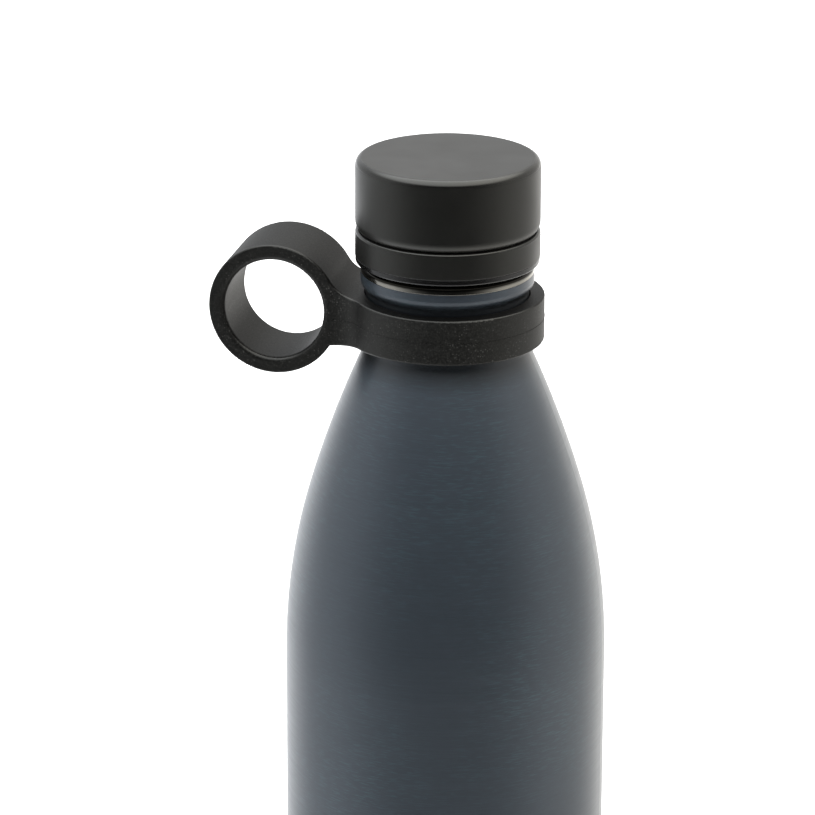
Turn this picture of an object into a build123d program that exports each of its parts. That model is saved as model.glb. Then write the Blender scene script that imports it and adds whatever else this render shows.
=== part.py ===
from build123d import *
import os
from math import acos, asin, cos, degrees, radians, sin

os.makedirs("parts", exist_ok=True)

# Vacuum-insulated water bottle with a screw lid and a swivelling carry loop.
# Frame: +Z up along the bottle's axis, origin on that axis in the plane that the bottle stands on.
# The carry loop reaches towards -X, with the axis of its hole along Y. All sizes are in millimetres.

# ---- driving dimensions: bottle ----
total_height = 280.0
body_radius = 40.0
outer_wall = 0.6
liner_wall = 0.5
vacuum_gap = 2.7
shoulder_start = 152.7  # height at which the straight wall begins to curve in
belly_arc_radius = 153.7  # first shoulder arc, tangent to the straight wall
belly_arc_angle = 16.8
upper_arc_radius = 277.5  # second shoulder arc, tangent to the first, up to the neck
neck_radius = 20.1
neck_root_fillet = 4.0

# ---- driving dimensions: neck and mouth ----
bead_radius = 21.4  # widest line of the rolled bead below the mouth
bead_height = 249.44
bead_arc_radius = 2.94
bead_root_radius = 1.5  # concave curve between the neck and the bead
bead_turn = 45.0  # slope at which the two curves meet
bead_crown_radius = 15.5  # gentle curve from the bead's widest line up to the rim
rim_bottom = 251.2
rim_height = 2.15
rim_radius = 21.3
rim_crown_fillet = 1.4
rim_lower_fillet = 0.15
mouth_radius = 18.0
mouth_fillet = 0.6

# ---- driving dimensions: thread between the stopper and the neck ----
thread_pitch = 4.5
thread_root_width = 1.9
thread_crest_width = 0.9
thread_embed = 0.25  # how far a ridge is rooted in its wall
neck_ridge_height = 0.9
neck_thread_bottom = 238.0
neck_thread_length = 9.0
plug_ridge_height = 0.95
plug_thread_length = 11.25
plug_radius = 16.8

# ---- driving dimensions: lid ----
lid_radius = 22.7
cover_height = 17.7
cover_top_fillet = 1.9
cover_wall = 1.5
cover_lip_radius = 3.4  # rounding of the cover's lower edge, above the groove
cover_lip_height = 2.1
groove_gap = 0.4
band_height = 6.55
band_edge_fillet = 0.7
band_lower_fillet = 0.2
band_spigot_height = 6.1
band_bore_radius = 19.9
flange_thickness = 1.5
flange_radius = 22.62
flange_edge_fillet = 0.5
flange_top_fillet = 0.15
gasket_thickness = 0.5
gasket_inner_radius = 17.0
gasket_outer_radius = 20.6
gasket_fillet = 0.15
stopper_bottom = 230.0
stopper_disc_thickness = 1.5
stopper_disc_fillet = 0.8
stopper_disc_lip = 2.0  # width of the upright lip that locates the disc in the plug
stopper_disc_lip_height = 2.5
plug_bore_radius = 14.5
upper_tube_bore_radius = 18.0

# ---- driving dimensions: foot and the closed bottoms ----
foot_outer_radius = 36.4  # outer edge of the flat ring that the bottle stands on
foot_inner_radius = 33.6
foot_turn_radius = 1.6  # roll from the standing ring up into the recess
foot_return_height = 4.6
base_disc_bottom = 2.4
base_disc_thickness = 0.6
base_emboss_radius = 24.0
base_emboss_height = 0.6
base_disc_corner = 0.9
vacuum_dish_bottom = 7.4
vacuum_dish_rim = 12.0
vacuum_dish_corner = 2.0
dimple_radius = 7.0
dimple_depth = 1.5
pump_hole_radius = 1.5
seal_bead_radius = 3.6
seal_bead_height = 0.9
seal_bead_fillet = 0.6
liner_bottom = 14.5
liner_corner_radius = 9.0  # turn from the liner's wall to its flat bottom
getter_radius = 6.0
getter_height = 2.0
getter_offset = 18.0
getter_fillet = 0.5
foil_thickness = 0.15
foil_bottom = 30.0

# ---- driving dimensions: carry strap ----
collar_radius = 23.9
collar_bore_radius = 20.45
collar_bottom = 234.1
collar_height = 11.4
loop_distance = 41.4  # from the bottle's axis to the loop's own axis
loop_centre_height = 241.3
loop_hole_radius = 12.5
loop_outer_radius = 16.4
loop_width = 21.4
web_start = 4.0  # where the collar begins to deepen towards the loop
web_rise = 1.0  # rise of the web's top line, read at the loop's axis
web_drop = 3.2
web_top_fillet = 8.0
web_bottom_fillet = 5.5
web_flare_fillet = 9.5  # plan-view curve from the loop's flat sides into the collar
strap_edge_fillet = 0.5
strap_hole_fillet = 1.2

# ---- worked out from the above ----
liner_inset = outer_wall + vacuum_gap
liner_turn_top = liner_bottom + liner_corner_radius
liner_disc_radius = body_radius - liner_inset - liner_corner_radius
rim_top = rim_bottom + rim_height
gasket_top = rim_top + gasket_thickness
flange_top = gasket_top + flange_thickness
band_top = flange_top + band_height
cover_bottom = band_top + groove_gap
cover_ceiling = cover_bottom + cover_height - cover_wall
cover_bore_radius = lid_radius - cover_wall
belly_centre = (body_radius - belly_arc_radius, shoulder_start)
arc_step = upper_arc_radius - belly_arc_radius
upper_centre = (
    belly_centre[0] - arc_step * cos(radians(belly_arc_angle)),
    belly_centre[1] - arc_step * sin(radians(belly_arc_angle)),
)
bead_centre = (bead_radius - bead_arc_radius, bead_height)
bead_root_reach = (bead_arc_radius + bead_root_radius) * cos(radians(bead_turn))
bead_root_centre = (bead_centre[0] + bead_root_reach, bead_centre[1] - bead_root_reach)
crown_centre = (bead_radius - bead_crown_radius, bead_height)


def shoulder_line(inset, top_radius, bottom):
    """Straight wall and both shoulder arcs, `inset` inside the bottle's skin, from `bottom` to `top_radius`."""
    upper_radius = upper_arc_radius - inset
    end_angle = degrees(acos((top_radius - upper_centre[0]) / upper_radius))
    wall = Line((body_radius - inset, bottom), (body_radius - inset, shoulder_start))
    CenterArc(belly_centre, belly_arc_radius - inset, 0, belly_arc_angle)
    upper = CenterArc(upper_centre, upper_radius, belly_arc_angle, end_angle - belly_arc_angle)
    return wall @ 0, upper @ 1


def bead_line(inset, neck_end):
    """Neck, concave root, bead and crown up to the rim, `inset` inside the coat."""
    root = CenterArc(bead_root_centre, bead_root_radius + inset, 180 - bead_turn, bead_turn)
    CenterArc(bead_centre, bead_arc_radius - inset, -bead_turn, bead_turn)
    crown_radius = bead_crown_radius - inset
    crown = CenterArc(crown_centre, crown_radius, 0, degrees(asin((rim_bottom - bead_height) / crown_radius)))
    Line(neck_end, root @ 1)
    return crown @ 1


def foot_line(inset):
    """Rolled foot from the straight wall round the standing ring and up into the recess."""
    corner_radius = body_radius - foot_outer_radius
    corner = CenterArc((foot_outer_radius, corner_radius), corner_radius - inset, -90, 90)
    turn = CenterArc((foot_inner_radius, foot_turn_radius), foot_turn_radius - inset, 180, 90)
    Line(turn @ 1, corner @ 0)
    top = (foot_inner_radius - foot_turn_radius + inset, foot_return_height)
    Line(top, turn @ 0)
    return top, corner @ 1


# ---- bottle body ----
with BuildPart() as outer_shell:
    with BuildSketch(Plane.XZ) as shell_section:
        with BuildLine():
            skin_foot_end, skin_wall_start = foot_line(0)
            _, skin_neck = shoulder_line(0, neck_radius, skin_wall_start.Y)
            skin_top = bead_line(0, skin_neck)
            inner_foot_end, inner_wall_start = foot_line(outer_wall)
            _, inner_neck = shoulder_line(outer_wall, neck_radius - outer_wall, inner_wall_start.Y)
            inner_top = bead_line(outer_wall, inner_neck)
            Line(skin_top, inner_top)
            Line(skin_foot_end, inner_foot_end)
        make_face()
        fillet(shell_section.vertices().sort_by_distance(skin_neck)[0], neck_root_fillet)
        fillet(shell_section.vertices().sort_by_distance(inner_neck)[0], neck_root_fillet + outer_wall)
    revolve(axis=Axis.Z)
outer_shell.part.label = "outer_shell"

with BuildPart() as inner_flask:
    with BuildSketch(Plane.XZ) as flask_section:
        with BuildLine():
            _, flask_neck = shoulder_line(liner_inset, mouth_radius + liner_wall, liner_turn_top)
            _, flask_bore = shoulder_line(liner_inset + liner_wall, mouth_radius, liner_turn_top)
            turn_centre = (liner_disc_radius, liner_turn_top)
            outer_turn = CenterArc(turn_centre, liner_corner_radius, -90, 90)
            inner_turn = CenterArc(turn_centre, liner_corner_radius - liner_wall, -90, 90)
            Line(outer_turn @ 0, inner_turn @ 0)
            Polyline(
                flask_neck,
                (mouth_radius + liner_wall, rim_bottom),
                (rim_radius, rim_bottom),
                (rim_radius, rim_top),
                (mouth_radius, rim_top),
                flask_bore,
            )
        make_face()
        fillet(flask_section.vertices().sort_by_distance(flask_neck)[0], neck_root_fillet)
        fillet(flask_section.vertices().sort_by_distance(flask_bore)[0], neck_root_fillet + liner_wall)
        fillet(flask_section.vertices().sort_by_distance((rim_radius, rim_top))[0], rim_crown_fillet)
        fillet(flask_section.vertices().sort_by_distance((rim_radius, rim_bottom))[0], rim_lower_fillet)
        fillet(flask_section.vertices().sort_by_distance((mouth_radius, rim_top))[0], mouth_fillet)
    revolve(axis=Axis.Z)
    with BuildLine(Plane.XY.offset(neck_thread_bottom)) as neck_helix:
        Helix(thread_pitch, neck_thread_length, mouth_radius)
    with BuildSketch(Plane(neck_helix.line @ 0, x_dir=(-1, 0, 0), z_dir=neck_helix.line % 0)):
        with BuildLine():
            Polyline(
                (-thread_embed, -thread_root_width / 2),
                (neck_ridge_height, -thread_crest_width / 2),
                (neck_ridge_height, thread_crest_width / 2),
                (-thread_embed, thread_root_width / 2),
                close=True,
            )
        make_face()
    sweep(path=neck_helix.line, is_frenet=True)
inner_flask.part.label = "inner_flask"

with BuildPart() as inner_bottom:
    with BuildSketch(Plane.XY.offset(liner_bottom)):
        Circle(liner_disc_radius)
    extrude(amount=liner_wall)
inner_bottom.part.label = "inner_bottom"

with BuildPart() as vacuum_bottom:
    rim_outer = body_radius - outer_wall
    dish_top = vacuum_dish_bottom + outer_wall
    dimple_top = dish_top - dimple_depth + outer_wall
    with BuildSketch(Plane.XZ) as vacuum_section:
        with BuildLine():
            Polyline(
                (pump_hole_radius, dimple_top - outer_wall),
                (dimple_radius, dimple_top - outer_wall),
                (dimple_radius, vacuum_dish_bottom),
                (rim_outer, vacuum_dish_bottom),
                (rim_outer, vacuum_dish_rim),
                (rim_outer - outer_wall, vacuum_dish_rim),
                (rim_outer - outer_wall, dish_top),
                (dimple_radius - outer_wall, dish_top),
                (dimple_radius - outer_wall, dimple_top),
                (pump_hole_radius, dimple_top),
                close=True,
            )
        make_face()
        outer_corner = (rim_outer, vacuum_dish_bottom)
        inner_corner = (rim_outer - outer_wall, dish_top)
        fillet(vacuum_section.vertices().sort_by_distance(outer_corner)[0], vacuum_dish_corner)
        fillet(vacuum_section.vertices().sort_by_distance(inner_corner)[0], vacuum_dish_corner - outer_wall)
    revolve(axis=Axis.Z)
vacuum_bottom.part.label = "vacuum_bottom"

# The seal is a bead of glass solder: a dome on the dimple's floor with a plug down the pump-out hole.
with BuildPart() as vacuum_seal:
    with BuildSketch(Plane.XY.offset(dimple_top - outer_wall)):
        Circle(pump_hole_radius)
    extrude(amount=outer_wall)
    with BuildSketch(Plane.XY.offset(dimple_top)):
        Circle(seal_bead_radius)
    extrude(amount=seal_bead_height)
    fillet(vacuum_seal.edges().group_by(Axis.Z)[-1], seal_bead_fillet)
vacuum_seal.part.label = "vacuum_seal"

with BuildPart() as getter:
    with BuildSketch(Plane.XY.offset(dish_top)):
        with Locations((getter_offset, 0)):
            Circle(getter_radius)
    extrude(amount=getter_height)
    fillet(getter.edges().group_by(Axis.Z)[-1], getter_fillet)
getter.part.label = "getter"

with BuildPart() as radiation_foil:
    with BuildSketch(Plane.XY.offset(foil_bottom)):
        Circle(body_radius - liner_inset + foil_thickness)
        Circle(body_radius - liner_inset, mode=Mode.SUBTRACT)
    extrude(amount=shoulder_start - foil_bottom)
radiation_foil.part.label = "radiation_foil"

with BuildPart() as base_disc:
    disc_radius = foot_inner_radius - foot_turn_radius
    disc_top = base_disc_bottom + base_disc_thickness
    with BuildSketch(Plane.XZ) as disc_section:
        with BuildLine():
            Polyline(
                (0, base_disc_bottom + base_emboss_height),
                (base_emboss_radius, base_disc_bottom + base_emboss_height),
                (base_emboss_radius + base_emboss_height, base_disc_bottom),
                (disc_radius, base_disc_bottom),
                (disc_radius, foot_return_height),
                (disc_radius - base_disc_thickness, foot_return_height),
                (disc_radius - base_disc_thickness, disc_top),
                (base_emboss_radius + base_emboss_height, disc_top),
                (base_emboss_radius, disc_top + base_emboss_height),
                (0, disc_top + base_emboss_height),
                close=True,
            )
        make_face()
        fillet(disc_section.vertices().sort_by_distance((disc_radius, base_disc_bottom))[0], base_disc_corner)
    revolve(axis=Axis.Z)
base_disc.part.label = "base_disc"

# ---- lid ----
with BuildPart() as cap_cover:
    with BuildSketch(Plane.XZ) as cover_section:
        lip_run = cover_lip_radius - (cover_lip_radius**2 - cover_lip_height**2) ** 0.5
        with BuildLine():
            lip_top = (lid_radius, cover_bottom + cover_lip_height)
            lip_bottom = (lid_radius - lip_run, cover_bottom)
            TangentArc(lip_top, lip_bottom, tangent=(0, -1))
            Polyline(
                lip_bottom,
                (cover_bore_radius, cover_bottom),
                (cover_bore_radius, cover_ceiling),
                (0, cover_ceiling),
                (0, total_height),
                (lid_radius, total_height),
                lip_top,
            )
        make_face()
        fillet(cover_section.vertices().sort_by_distance((lid_radius, total_height))[0], cover_top_fillet)
    revolve(axis=Axis.Z)
cap_cover.part.label = "cap_cover"

with BuildPart() as cap_ring:
    with BuildSketch(Plane.XZ) as ring_section:
        with BuildLine():
            Polyline(
                (band_bore_radius, flange_top),
                (lid_radius, flange_top),
                (lid_radius, band_top),
                (cover_bore_radius, band_top),
                (cover_bore_radius, band_top + band_spigot_height),
                (band_bore_radius, band_top + band_spigot_height),
                close=True,
            )
        make_face()
        fillet(ring_section.vertices().sort_by_distance((lid_radius, band_top))[0], band_edge_fillet)
        fillet(ring_section.vertices().sort_by_distance((lid_radius, flange_top))[0], band_lower_fillet)
    revolve(axis=Axis.Z)
cap_ring.part.label = "cap_ring"

with BuildPart() as stopper:
    plug_bottom = stopper_bottom + stopper_disc_thickness
    with BuildSketch(Plane.XZ) as plug_section:
        with BuildLine():
            Polyline(
                (plug_bore_radius, plug_bottom),
                (plug_radius, plug_bottom),
                (plug_radius, gasket_top),
                (flange_radius, gasket_top),
                (flange_radius, flange_top),
                (band_bore_radius, flange_top),
                (band_bore_radius, cover_ceiling),
                (upper_tube_bore_radius, cover_ceiling),
                (upper_tube_bore_radius, flange_top),
                (plug_bore_radius, flange_top),
                close=True,
            )
        make_face()
        fillet(plug_section.vertices().sort_by_distance((flange_radius, gasket_top))[0], flange_edge_fillet)
        fillet(plug_section.vertices().sort_by_distance((flange_radius, flange_top))[0], flange_top_fillet)
    revolve(axis=Axis.Z)
    with BuildLine(Plane.XY.offset(neck_thread_bottom - thread_pitch / 2)) as plug_helix:
        Helix(thread_pitch, plug_thread_length, plug_radius)
    with BuildSketch(Plane(plug_helix.line @ 0, x_dir=(1, 0, 0), z_dir=plug_helix.line % 0)):
        with BuildLine():
            Polyline(
                (-thread_embed, -thread_root_width / 2),
                (plug_ridge_height, -thread_crest_width / 2),
                (plug_ridge_height, thread_crest_width / 2),
                (-thread_embed, thread_root_width / 2),
                close=True,
            )
        make_face()
    sweep(path=plug_helix.line, is_frenet=True)
stopper.part.label = "stopper"

with BuildPart() as stopper_disc:
    with BuildSketch(Plane.XY.offset(stopper_bottom)):
        Circle(plug_radius)
    extrude(amount=stopper_disc_thickness)
    with BuildSketch(Plane.XY.offset(stopper_bottom + stopper_disc_thickness)):
        Circle(plug_bore_radius)
        Circle(plug_bore_radius - stopper_disc_lip, mode=Mode.SUBTRACT)
    extrude(amount=stopper_disc_lip_height)
    fillet(stopper_disc.edges().group_by(Axis.Z)[0], stopper_disc_fillet)
stopper_disc.part.label = "stopper_disc"

with BuildPart() as lid_foam:
    foam_bottom = stopper_bottom + stopper_disc_thickness + stopper_disc_lip_height
    with BuildSketch(Plane.XY.offset(foam_bottom)):
        Circle(plug_bore_radius)
    extrude(amount=flange_top - foam_bottom)
    with BuildSketch(Plane.XY.offset(flange_top)):
        Circle(upper_tube_bore_radius)
    extrude(amount=cover_ceiling - flange_top)
lid_foam.part.label = "lid_foam"

with BuildPart() as seal_ring:
    with BuildSketch(Plane.XY.offset(rim_top)):
        Circle(gasket_outer_radius)
        Circle(gasket_inner_radius, mode=Mode.SUBTRACT)
    extrude(amount=gasket_thickness)
    fillet(seal_ring.edges().filter_by(GeomType.CIRCLE).sort_by(SortBy.RADIUS)[-2:], gasket_fillet)
seal_ring.part.label = "seal_ring"

# ---- carry strap: side view and plan view crossed, then bored ----
with BuildPart() as carry_strap:
    collar_top = collar_bottom + collar_height
    loop_centre = (-loop_distance, loop_centre_height)
    with BuildSketch(Plane.XZ) as strap_side:
        with BuildLine():
            web_top = TangentArc(
                (-web_start, collar_top), (-loop_distance, collar_top + web_rise), tangent=(-1, 0)
            )
            web_bottom = TangentArc(
                (-web_start, collar_bottom), (-loop_distance, collar_bottom - web_drop), tangent=(-1, 0)
            )
            Line(web_top @ 1, web_bottom @ 1)
            Polyline(
                web_top @ 0,
                (collar_radius, collar_top),
                (collar_radius, collar_bottom),
                web_bottom @ 0,
            )
        make_face()
        with Locations(loop_centre):
            Circle(loop_outer_radius)
        web_corners = strap_side.vertices().filter_by(
            lambda v: abs((Vector(v) - Vector(*loop_centre)).length - loop_outer_radius) < 0.01 and v.X > -loop_distance
        )
        fillet(web_corners.sort_by(Axis.Y)[-1], web_top_fillet)
        fillet(web_corners.sort_by(Axis.Y)[0], web_bottom_fillet)
    extrude(amount=collar_radius, both=True)
    with BuildSketch(Plane.XY.offset(loop_centre_height - loop_outer_radius)) as strap_plan:
        Circle(collar_radius)
        with Locations((-loop_distance / 2 - loop_outer_radius / 2, 0)):
            Rectangle(loop_distance + loop_outer_radius, loop_width)
        flare_corners = strap_plan.vertices().filter_by(
            lambda v: abs((v.X**2 + v.Y**2) ** 0.5 - collar_radius) < 0.01 and v.X < 0
        )
        fillet(flare_corners, web_flare_fillet)
    extrude(amount=2 * loop_outer_radius, mode=Mode.INTERSECT)
    fillet(carry_strap.edges().filter_by(GeomType.LINE, reverse=True), strap_edge_fillet)
    with BuildSketch(Plane.XY.offset(loop_centre_height - loop_outer_radius)):
        Circle(collar_bore_radius)
    extrude(amount=2 * loop_outer_radius, mode=Mode.SUBTRACT)
    with BuildSketch(Plane.XZ):
        with Locations(loop_centre):
            Circle(loop_hole_radius)
    extrude(amount=loop_width, both=True, mode=Mode.SUBTRACT)
    hole_edges = carry_strap.edges().filter_by(GeomType.CIRCLE)
    fillet(hole_edges.filter_by(lambda e: abs(e.radius - loop_hole_radius) < 0.01), strap_hole_fillet)
carry_strap.part.label = "carry_strap"

nodes = [
    outer_shell,
    inner_flask,
    inner_bottom,
    vacuum_bottom,
    vacuum_seal,
    getter,
    radiation_foil,
    base_disc,
    cap_cover,
    cap_ring,
    stopper,
    stopper_disc,
    lid_foam,
    seal_ring,
    carry_strap,
]
for node in nodes:
    export_step(node.part, f"parts/{node.part.label}.step")
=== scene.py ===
import bmesh
import bpy
from math import atan2, cos, pi, radians, sin
from mathutils import Matrix, Vector


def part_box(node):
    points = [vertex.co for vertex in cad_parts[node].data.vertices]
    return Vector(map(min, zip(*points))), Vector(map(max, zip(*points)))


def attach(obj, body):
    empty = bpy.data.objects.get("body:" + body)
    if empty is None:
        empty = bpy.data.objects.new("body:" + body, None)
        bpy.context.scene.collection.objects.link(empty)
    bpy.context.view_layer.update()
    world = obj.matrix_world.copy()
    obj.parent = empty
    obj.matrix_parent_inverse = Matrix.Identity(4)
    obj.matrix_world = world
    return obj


# Vacuum-insulated water bottle with a black screw lid and a moulded carry loop, on a plain pale floor.
# Metres, +Z up, origin on the bottle's axis at the floor, carry loop towards -X.

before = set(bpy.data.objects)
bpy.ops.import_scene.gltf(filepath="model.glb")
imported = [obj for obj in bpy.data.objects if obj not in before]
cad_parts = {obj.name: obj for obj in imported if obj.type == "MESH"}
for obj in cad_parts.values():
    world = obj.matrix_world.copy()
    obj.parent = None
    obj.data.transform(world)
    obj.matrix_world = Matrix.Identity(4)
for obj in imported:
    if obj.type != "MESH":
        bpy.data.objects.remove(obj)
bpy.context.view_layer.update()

# ---- camera ----
VIEW_AZIMUTH = radians(12.46)  # how far the loop is turned from the camera's left
VIEW_ELEVATION = 0.33189
VIEW_DISTANCE = 1.2
VIEW_ROLL = 0.00285
VIEW_OFFSET = -0.00972  # aim point's distance to the right of the bottle's axis
VIEW_DROP = 0.06458  # aim point's depth below the lid's top
SENSOR_WIDTH = 36.0
LENS = 214.2

# ---- studio ----
FLOOR_SIZE = 24.0
FLOOR_COLOR = (0.9, 0.9, 0.9)
WALL_LIGHT = 1.15  # brightness of the studio's white sides and back
FRONT_LIGHT = 0.02  # brightness of its dark front
FRONT_TURN = (0.02, 0.92)  # cosines from the camera's side between which the walls go dark
GLOW_LIGHT = 1.0  # added brightness of the lit sweep behind the object, seen only in reflections
GLOW_TURN = (-0.3, -0.95)
GLOW_HEIGHT = (0.1, -0.15)  # sines of the elevation between which it comes in
CEILING_LIGHT = 3.6  # added brightness of the broad soft light overhead
CEILING_HEIGHT = (0.5, 0.85)
TABLE_LIGHT = 1.7  # brightness of the white table close round the object, seen in downward faces
TABLE_HEIGHT = (-0.45, -0.75)
LEFT_TINT = (0.785, 0.8, 0.82)  # the light is a little cooler on the left than on the right
RIGHT_TINT = (0.815, 0.8, 0.77)
TINT_TURN = (-0.4, 0.6)  # cosines from the camera's right between which the tint changes
CAMERA_REACH = 50.0  # how far the camera sees

# ---- strap, as modelled: its mould's parting line runs round it at mid-height ----
COLLAR_HEIGHTS = (0.2341, 0.2455)
LOOP_DISTANCE = 0.0414
LOOP_OUTER_RADIUS = 0.0164
LOOP_WIDTH = 0.0214
FLARE_RADIUS = 0.0095
FLASH_HEIGHT = 0.00022
FLASH_PROUD = 0.00009
FLASH_START = 0.86  # where the line leaves the loop, as a share of the loop's outer radius
FLARE_POINTS = 9
COLLAR_POINTS = 120
TAPER_POINTS = 4

# ---- heights on the neck between which painted shade comes in: under the strap's collar, and on the rim's crown under the lid ----
COLLAR_SHADE = (0.2262, 0.2312)
BEAD_SHADE_END = (0.247, 0.2485)
RIM_START = (0.2505, 0.2512)


# ---- small helpers for node trees ----
def clear_tree(tree):
    tree.nodes.clear()
    return tree.nodes, tree.links


def new_material(name):
    """An empty node material with its Principled shader, ready for textures."""
    material = bpy.data.materials.new(name)
    material.use_nodes = True
    nodes, links = clear_tree(material.node_tree)
    shader = nodes.new("ShaderNodeBsdfPrincipled")
    output = nodes.new("ShaderNodeOutputMaterial")
    links.new(shader.outputs["BSDF"], output.inputs["Surface"])
    return material, shader


def set_shader(shader, color, roughness, metallic=0.0, coat=0.0, coat_roughness=0.1, ior=1.5):
    shader.inputs["Base Color"].default_value = (*color, 1.0)
    shader.inputs["Roughness"].default_value = roughness
    shader.inputs["Metallic"].default_value = metallic
    shader.inputs["Coat Weight"].default_value = coat
    shader.inputs["Coat Roughness"].default_value = coat_roughness
    shader.inputs["IOR"].default_value = ior


def stretched_noise(material, frequency, detail=2.0, roughness=0.5):
    """Noise over the object's own coordinates, with `frequency` cycles per metre along X, Y and Z."""
    nodes, links = material.node_tree.nodes, material.node_tree.links
    place = nodes.new("ShaderNodeTexCoord")
    mapping = nodes.new("ShaderNodeMapping")
    noise = nodes.new("ShaderNodeTexNoise")
    mapping.inputs["Scale"].default_value = frequency
    noise.inputs["Scale"].default_value = 1.0
    noise.inputs["Detail"].default_value = detail
    noise.inputs["Roughness"].default_value = roughness
    links.new(place.outputs["Object"], mapping.inputs["Vector"])
    links.new(mapping.outputs["Vector"], noise.inputs["Vector"])
    return noise.outputs["Fac"]


def remap(material, value, low, high, out_low, out_high):
    nodes, links = material.node_tree.nodes, material.node_tree.links
    node = nodes.new("ShaderNodeMapRange")
    for name, number in zip(("From Min", "From Max", "To Min", "To Max"), (low, high, out_low, out_high)):
        node.inputs[name].default_value = number
    links.new(value, node.inputs["Value"])
    return node.outputs["Result"]


def math(material, operation, first, second):
    """A Math node on two values, each a socket or a number."""
    nodes, links = material.node_tree.nodes, material.node_tree.links
    node = nodes.new("ShaderNodeMath")
    node.operation = operation
    for socket, value in zip(node.inputs, (first, second)):
        if isinstance(value, (int, float)):
            socket.default_value = value
        else:
            links.new(value, socket)
    return node.outputs["Value"]


def component(material, coordinate, axis):
    """One axis of a texture coordinate, "Object" for the place or "Normal" for the surface's direction."""
    nodes, links = material.node_tree.nodes, material.node_tree.links
    place = nodes.new("ShaderNodeTexCoord")
    split = nodes.new("ShaderNodeSeparateXYZ")
    links.new(place.outputs[coordinate], split.inputs["Vector"])
    return split.outputs[axis]


def facing_up(material, low, high):
    """0 to 1 as the surface, in the object's own frame, turns upwards between two slopes."""
    return remap(material, component(material, "Normal", "Z"), low, high, 0, 1)


def facing_side(material):
    """1 where the surface is turned partly along Y, as on the loop's rounded edges, 0 elsewhere."""
    slope = math(material, "ABSOLUTE", component(material, "Normal", "Y"), 0.0)
    leaning = remap(material, slope, 0.15, 0.35, 0, 1)
    square_on = remap(material, slope, 0.9, 0.97, 0, 1)
    return math(material, "SUBTRACT", leaning, square_on)


def height_ramp(material, low, high):
    """0 to 1 as the height, in the object's own frame, rises from `low` to `high` metres."""
    return remap(material, component(material, "Object", "Z"), low, high, 0, 1)


def specks(material, density, size, share):
    """Small round flecks: `density` cells per metre, `size` of a cell wide, in a `share` of the cells."""
    nodes, links = material.node_tree.nodes, material.node_tree.links
    place = nodes.new("ShaderNodeTexCoord")
    cells = nodes.new("ShaderNodeTexVoronoi")
    cells.inputs["Scale"].default_value = density
    split = nodes.new("ShaderNodeSeparateColor")
    links.new(place.outputs["Object"], cells.inputs["Vector"])
    links.new(cells.outputs["Color"], split.inputs["Color"])
    dot = remap(material, cells.outputs["Distance"], 0.5 * size, size, 1, 0)
    chosen = remap(material, split.outputs["Red"], 1 - share, 1, 0, 1)
    return math(material, "MULTIPLY", dot, chosen)


def turned_rings(material, frequency):
    """Noise that depends only on the distance from the axis, as on a turned or spun face."""
    nodes, links = material.node_tree.nodes, material.node_tree.links
    place = nodes.new("ShaderNodeTexCoord")
    flat = nodes.new("ShaderNodeVectorMath")
    radius = nodes.new("ShaderNodeVectorMath")
    noise = nodes.new("ShaderNodeTexNoise")
    flat.operation = "MULTIPLY"
    flat.inputs[1].default_value = (1, 1, 0)
    radius.operation = "LENGTH"
    noise.noise_dimensions = "1D"
    noise.inputs["Scale"].default_value = frequency
    noise.inputs["Detail"].default_value = 3.0
    links.new(place.outputs["Object"], flat.inputs[0])
    links.new(flat.outputs["Vector"], radius.inputs[0])
    links.new(radius.outputs["Value"], noise.inputs["W"])
    return noise.outputs["Fac"]


def mix_color(material, factor, first, second):
    """Blends from `first`, a colour or a socket, to the colour `second`."""
    nodes, links = material.node_tree.nodes, material.node_tree.links
    node = nodes.new("ShaderNodeMix")
    node.data_type = "RGBA"
    if isinstance(first, tuple):
        node.inputs["A"].default_value = (*first, 1.0)
    else:
        links.new(first, node.inputs["A"])
    node.inputs["B"].default_value = (*second, 1.0)
    links.new(factor, node.inputs["Factor"])
    return node.outputs["Result"]


def add_bump(material, shader, heights, distance):
    """Chains bump nodes for (height socket, strength) pairs into the shader's normal."""
    nodes, links = material.node_tree.nodes, material.node_tree.links
    previous = None
    for height, strength in heights:
        bump = nodes.new("ShaderNodeBump")
        bump.inputs["Strength"].default_value = strength
        bump.inputs["Distance"].default_value = distance
        links.new(height, bump.inputs["Height"])
        if previous:
            links.new(previous, bump.inputs["Normal"])
        previous = bump.outputs["Normal"]
    links.new(previous, shader.inputs["Normal"])


def link_value(material, value, socket):
    material.node_tree.links.new(value, socket)


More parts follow.
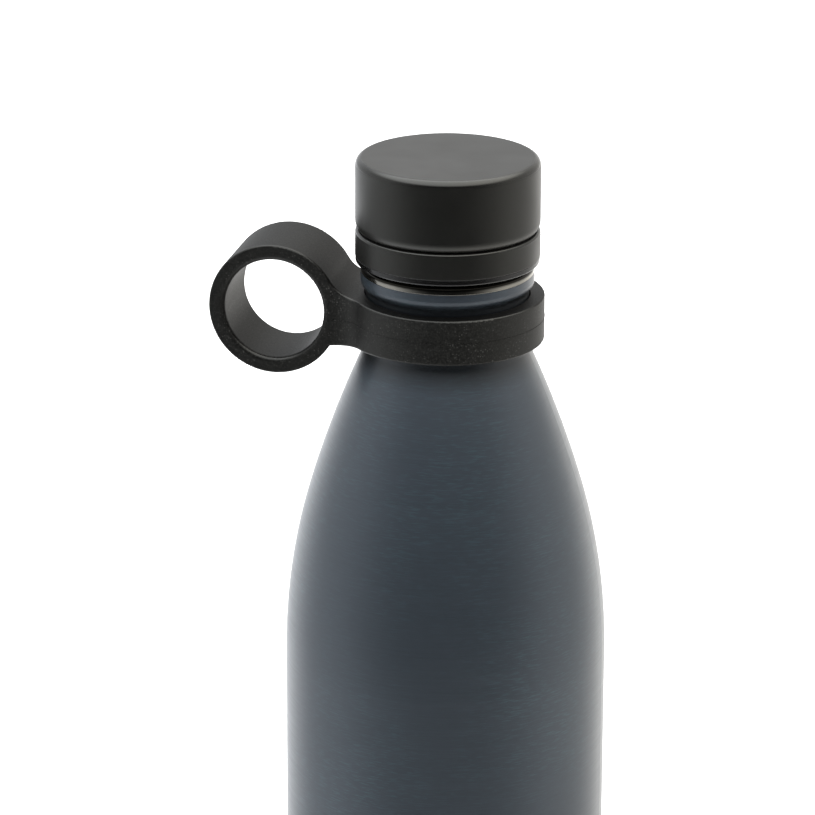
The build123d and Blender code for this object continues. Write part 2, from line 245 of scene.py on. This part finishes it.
# ---- materials ----
def make_coat():
    """Slate-blue satin lacquer over steel that was brushed round the axis, with painted shade round and inside the
    collar, standing in for the strap's shadow on the neck.
    """
    material, shader = new_material("slate_coat")
    set_shader(shader, (0.04, 0.049, 0.06), 0.38, metallic=0.45, coat=0.45, coat_roughness=0.3)
    long_strokes = stretched_noise(material, (45, 45, 2600), detail=3.0, roughness=0.6)
    short_strokes = stretched_noise(material, (330, 330, 3400), detail=2.0, roughness=0.6)
    cloud = stretched_noise(material, (26, 26, 16), detail=2.0)
    patches = remap(material, cloud, 0.42, 0.62, 0.15, 1.0)
    strokes = math(material, "MULTIPLY", remap(material, short_strokes, 0.5, 0.72, 0, 1), patches)
    stroke_share = math(material, "MULTIPLY", long_strokes, 0.6)
    cloud_share = math(material, "MULTIPLY", cloud, 0.4)
    shade = remap(material, math(material, "ADD", stroke_share, cloud_share), 0.3, 0.7, 0, 1)
    even = mix_color(material, shade, (0.0345, 0.0445, 0.057), (0.0415, 0.053, 0.068))
    color = mix_color(material, math(material, "MULTIPLY", strokes, 0.75), even, (0.05, 0.088, 0.103))
    # painted shade: the coat goes dark just under and inside the strap's collar, up to the bead, in place of the
    # collar's shadow
    shaded = math(material, "SUBTRACT", height_ramp(material, *COLLAR_SHADE), height_ramp(material, *BEAD_SHADE_END))
    color = mix_color(material, math(material, "MULTIPLY", shaded, 0.75), color, (0.009, 0.0105, 0.012))
    link_value(material, color, shader.inputs["Base Color"])
    link_value(material, remap(material, long_strokes, 0.3, 0.7, 0.34, 0.42), shader.inputs["Roughness"])
    grain = stretched_noise(material, (2200, 2200, 2200), detail=1.0)
    add_bump(material, shader, ((long_strokes, 0.1), (short_strokes, 0.1), (grain, 0.05)), 0.00003)
    return material


def make_lid_satin():
    """Soft-touch black lacquer with a very fine spray grain, worn smoother on its rounded edges."""
    material, shader = new_material("lid_satin_black")
    set_shader(shader, (0.0055, 0.0055, 0.0052), 0.38)
    shader.inputs["Specular Tint"].default_value = (1.0, 1.0, 0.93, 1.0)
    grain = stretched_noise(material, (2600, 2600, 2600), detail=2.0)
    cloud = stretched_noise(material, (60, 60, 60), detail=2.0)
    edge = math(material, "SUBTRACT", facing_up(material, 0.15, 0.4), facing_up(material, 0.94, 0.99))
    worn = math(material, "MULTIPLY", edge, 0.22)
    rough = math(material, "SUBTRACT", remap(material, cloud, 0.3, 0.7, 0.34, 0.42), worn)
    link_value(material, rough, shader.inputs["Roughness"])
    shader.inputs["Specular IOR Level"].default_value = 0.47
    add_bump(material, shader, ((grain, 0.12),), 0.00002)
    return material


def make_lid_gloss():
    """Moulded semi-gloss black plastic."""
    material, shader = new_material("lid_gloss_black")
    set_shader(shader, (0.004, 0.004, 0.004), 0.2)
    cloud = stretched_noise(material, (90, 90, 90), detail=3.0)
    link_value(material, remap(material, cloud, 0.3, 0.7, 0.16, 0.26), shader.inputs["Roughness"])
    add_bump(material, shader, ((cloud, 0.05),), 0.00003)
    return material


def make_strap():
    """Black silicone: eroded mould grain on the upright faces, smoother on top and on edges, a little dust."""
    material, shader = new_material("strap_silicone")
    set_shader(shader, (0.0065, 0.0065, 0.0065), 0.52)
    shader.inputs["Specular Tint"].default_value = (1.0, 1.0, 0.94, 1.0)
    grain = stretched_noise(material, (2500, 2500, 2500), detail=2.0, roughness=0.7)
    cloud = stretched_noise(material, (140, 140, 140), detail=3.0)
    upright = remap(material, facing_up(material, 0.15, 0.6), 0, 1, 1, 0.3)
    mottle = math(material, "MULTIPLY", remap(material, grain, 0.42, 0.72, 0, 1), upright)
    grey = mix_color(material, mottle, (0.001, 0.001, 0.001), (0.011, 0.011, 0.0105))
    dusty = remap(material, cloud, 0.4, 0.65, 0.2, 1)
    dust = math(material, "MULTIPLY", specks(material, 1900, 0.38, 0.55), dusty)
    color = mix_color(material, math(material, "MULTIPLY", dust, upright), grey, (0.065, 0.065, 0.062))
    link_value(material, color, shader.inputs["Base Color"])
    edge = math(material, "MULTIPLY", facing_up(material, 0.15, 0.4), facing_side(material))
    worn = math(material, "MULTIPLY", edge, 0.2)
    rough = math(material, "SUBTRACT", remap(material, grain, 0.3, 0.7, 0.45, 0.57), worn)
    gloss = math(material, "ADD", remap(material, upright, 0.3, 1, 0.19, 0.37), worn)
    link_value(material, rough, shader.inputs["Roughness"])
    link_value(material, gloss, shader.inputs["Specular IOR Level"])
    add_bump(material, shader, ((math(material, "MULTIPLY", grain, upright), 0.5),), 0.00006)
    return material


def make_steel(name, color, low, high, brushing, painted_crown_shade=None):
    """Bare stainless steel; `brushing` makes its scratch pattern, and the optional last colour is painted shade for
    the rim's crown.
    """
    material, shader = new_material(name)
    if painted_crown_shade:
        paint_crown_shade(material, shader, color, painted_crown_shade)
    set_shader(shader, color, low, metallic=1.0)
    scratches = brushing(material)
    link_value(material, remap(material, scratches, 0.3, 0.7, low, high), shader.inputs["Roughness"])
    add_bump(material, shader, ((scratches, 0.1),), 0.00002)
    return material


def paint_crown_shade(material, shader, steel, painted_crown_shade):
    """Painted shade: darkens the rim's rounded crown, where the lid's flange above shades it; its side and flat top
    stay bright.
    """
    slope = math(material, "SUBTRACT", facing_up(material, 0.02, 0.3), facing_up(material, 0.9, 0.98))
    crown = math(material, "MULTIPLY", slope, height_ramp(material, *RIM_START))
    link_value(material, mix_color(material, crown, steel, painted_crown_shade), shader.inputs["Base Color"])


def make_plain(name, color, roughness, metallic=0.0, frequency=900.0, strength=0.2):
    """A small hidden piece's material: even colour, fine cast or moulded grain."""
    material, shader = new_material(name)
    set_shader(shader, color, roughness, metallic)
    grain = stretched_noise(material, (frequency, frequency, frequency), detail=3.0)
    rough = remap(material, grain, 0.3, 0.7, 0.85 * roughness, 1.1 * roughness)
    link_value(material, rough, shader.inputs["Roughness"])
    add_bump(material, shader, ((grain, strength),), 0.00004)
    return material


coat = make_coat()
lid_satin = make_lid_satin()
lid_gloss = make_lid_gloss()
strap_rubber = make_strap()
liner_steel = make_steel(
    "rim_steel",
    (0.3, 0.29, 0.26),
    0.12,
    0.2,
    lambda material: stretched_noise(material, (40, 40, 1800), 3.0, 0.6),
    # painted shade on the rim's crown, in place of the shadow under the lid's flange
    painted_crown_shade=(0.02, 0.019, 0.016),
)
base_steel = make_steel(
    "spun_base_steel", (0.55, 0.55, 0.54), 0.22, 0.36, lambda material: turned_rings(material, 2600)
)
hidden_steel = make_steel(
    "mill_steel", (0.5, 0.5, 0.49), 0.3, 0.45, lambda material: stretched_noise(material, (600, 600, 600), 3.0)
)
foam = make_plain("lid_foam", (0.72, 0.71, 0.66), 0.9, frequency=700.0, strength=0.6)
seal_rubber = make_plain("seal_silicone", (0.01, 0.01, 0.01), 0.5)
copper = make_plain("copper_foil", (0.72, 0.36, 0.24), 0.3, metallic=1.0, frequency=200.0, strength=0.5)
solder = make_plain("glass_solder", (0.1, 0.11, 0.11), 0.15)
pellet = make_plain("getter_pellet", (0.12, 0.12, 0.12), 0.7, metallic=0.5)

node_materials = {
    "outer_shell": coat,
    "inner_flask": liner_steel,
    "inner_bottom": liner_steel,
    "vacuum_bottom": hidden_steel,
    "vacuum_seal": solder,
    "getter": pellet,
    "radiation_foil": copper,
    "base_disc": base_steel,
    "cap_cover": lid_satin,
    "cap_ring": lid_satin,
    "stopper": lid_gloss,
    "stopper_disc": lid_gloss,
    "lid_foam": foam,
    "seal_ring": seal_rubber,
    "carry_strap": strap_rubber,
}
for node, material in node_materials.items():
    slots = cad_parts[node].material_slots
    for slot in slots:
        slot.material = material


# ---- parting line of the strap's mould ----
def arc_points(centre, radius, start, end, count):
    step = (end - start) / (count - 1)
    return [centre + radius * Vector((cos(start + i * step), sin(start + i * step))) for i in range(count)]


def parting_outline(collar_radius):
    """The strap's plan outline, from the loop's side face round the collar to the other side face."""
    half_width = LOOP_WIDTH / 2
    flare_y = half_width + FLARE_RADIUS
    flare_x = -((collar_radius + FLARE_RADIUS) ** 2 - flare_y**2) ** 0.5
    meet = atan2(flare_y, flare_x)
    flare = arc_points(Vector((flare_x, flare_y)), FLARE_RADIUS, -pi / 2, meet - pi, FLARE_POINTS)
    collar = arc_points(Vector((0, 0)), collar_radius, meet, -meet, COLLAR_POINTS)
    side_start = Vector((-LOOP_DISTANCE + LOOP_OUTER_RADIUS * FLASH_START, half_width))
    upper = [side_start] + flare
    lower = [Vector((point.x, -point.y)) for point in reversed(upper)]
    return upper + collar[1:-1] + lower


def make_parting_line():
    """A hair-thin ridge left by the mould, round the collar and along both sides of the web."""
    outline = parting_outline(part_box("carry_strap")[1][1])
    middle = sum(COLLAR_HEIGHTS) / 2
    count = len(outline)
    mesh = bpy.data.meshes.new("parting_line")
    body = bmesh.new()
    rings = []
    for i, point in enumerate(outline):
        along = (outline[min(i + 1, count - 1)] - outline[max(i - 1, 0)]).normalized()
        out = Vector((-along.y, along.x))
        taper = min(1.0, i / TAPER_POINTS, (count - 1 - i) / TAPER_POINTS)
        section = ((-2 * FLASH_PROUD, 0.5), (FLASH_PROUD * taper, 0), (-2 * FLASH_PROUD, -0.5))
        ring = []
        for proud, rise in section:
            spot = point + out * proud
            ring.append(body.verts.new((spot.x, spot.y, middle + rise * FLASH_HEIGHT)))
        rings.append(ring)
    for first, second in zip(rings, rings[1:]):
        for side in range(3):
            following = (side + 1) % 3
            body.faces.new((first[side], first[following], second[following], second[side]))
    body.faces.new(rings[0])
    body.faces.new(reversed(rings[-1]))
    bmesh.ops.recalc_face_normals(body, faces=body.faces)
    body.to_mesh(mesh)
    body.free()
    line = bpy.data.objects.new("parting_line", mesh)
    bpy.context.scene.collection.objects.link(line)
    mesh.materials.append(strap_rubber)
    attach(line, "strap")


# ---- floor and soft studio ----
def make_floor():
    half = FLOOR_SIZE / 2
    mesh = bpy.data.meshes.new("floor")
    corners = [(-half, -half, 0), (half, -half, 0), (half, half, 0), (-half, half, 0)]
    mesh.from_pydata(corners, [], [(0, 1, 2, 3)])
    floor = bpy.data.objects.new("floor", mesh)
    bpy.context.scene.collection.objects.link(floor)
    material, shader = new_material("pale_floor")
    set_shader(shader, FLOOR_COLOR, 0.9)
    mesh.materials.append(material)
    floor.visible_glossy = False


def make_studio():
    """White sides and back, a dark opening on the camera's side, and a broad soft light overhead."""
    world = bpy.data.worlds.new("studio")
    bpy.context.scene.world = world
    world.use_nodes = True
    nodes, links = clear_tree(world.node_tree)

    def ramp(value, turn, low, high):
        node = nodes.new("ShaderNodeMapRange")
        node.interpolation_type = "SMOOTHSTEP"
        for name, number in zip(("From Min", "From Max", "To Min", "To Max"), (*turn, low, high)):
            node.inputs[name].default_value = number
        links.new(value, node.inputs["Value"])
        return node.outputs["Result"]

    def combine(operation, first, second):
        node = nodes.new("ShaderNodeMath")
        node.operation = operation
        links.new(first, node.inputs[0])
        links.new(second, node.inputs[1])
        return node.outputs["Value"]

    direction = nodes.new("ShaderNodeTexCoord")
    front = nodes.new("ShaderNodeVectorMath")
    front.operation = "DOT_PRODUCT"
    front.inputs[1].default_value = (sin(VIEW_AZIMUTH), -cos(VIEW_AZIMUTH), 0)
    split = nodes.new("ShaderNodeSeparateXYZ")
    links.new(direction.outputs["Generated"], front.inputs[0])
    links.new(direction.outputs["Generated"], split.inputs["Vector"])
    facing, height = front.outputs["Value"], split.outputs["Z"]
    walls = ramp(facing, FRONT_TURN, WALL_LIGHT, FRONT_LIGHT)
    glow = combine("MULTIPLY", ramp(facing, GLOW_TURN, 0, GLOW_LIGHT), ramp(height, GLOW_HEIGHT, 0, 1))
    ceiling = ramp(height, CEILING_HEIGHT, 0, CEILING_LIGHT)
    table = ramp(height, TABLE_HEIGHT, 0, TABLE_LIGHT)
    background = nodes.new("ShaderNodeBackground")
    output = nodes.new("ShaderNodeOutputWorld")
    across = nodes.new("ShaderNodeVectorMath")
    across.operation = "DOT_PRODUCT"
    across.inputs[1].default_value = (cos(VIEW_AZIMUTH), sin(VIEW_AZIMUTH), 0)
    links.new(direction.outputs["Generated"], across.inputs[0])
    tint = nodes.new("ShaderNodeMix")
    tint.data_type = "RGBA"
    tint.inputs["A"].default_value = (*LEFT_TINT, 1.0)
    tint.inputs["B"].default_value = (*RIGHT_TINT, 1.0)
    links.new(ramp(across.outputs["Value"], TINT_TURN, 0, 1), tint.inputs["Factor"])
    sides = combine("ADD", walls, glow)
    ends = combine("ADD", ceiling, table)
    links.new(tint.outputs["Result"], background.inputs["Color"])
    links.new(combine("ADD", sides, ends), background.inputs["Strength"])
    links.new(background.outputs["Background"], output.inputs["Surface"])


def make_camera(lid_top):
    """A long lens aimed at the neck, from the side that shows the loop at the left."""
    level = Vector((sin(VIEW_AZIMUTH), -cos(VIEW_AZIMUTH), 0))
    away = cos(VIEW_ELEVATION) * level + Vector((0, 0, sin(VIEW_ELEVATION)))
    right = Vector((cos(VIEW_AZIMUTH), sin(VIEW_AZIMUTH), 0))
    up = away.cross(right)
    rolled_right = cos(VIEW_ROLL) * right + sin(VIEW_ROLL) * up
    rolled_up = cos(VIEW_ROLL) * up - sin(VIEW_ROLL) * right
    aim = VIEW_OFFSET * right + Vector((0, 0, lid_top - VIEW_DROP))
    data = bpy.data.cameras.new("camera")
    data.lens = LENS
    data.sensor_width = SENSOR_WIDTH
    data.clip_end = CAMERA_REACH
    camera = bpy.data.objects.new("camera", data)
    bpy.context.scene.collection.objects.link(camera)
    turn = Matrix((rolled_right, rolled_up, away)).transposed().to_4x4()
    camera.matrix_world = Matrix.Translation(aim + VIEW_DISTANCE * away) @ turn
    bpy.context.scene.camera = camera


lid_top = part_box("cap_cover")[1][2]
make_parting_line()
bpy.context.scene.view_settings.view_transform = "Standard"
make_floor()
make_studio()
make_camera(lid_top)
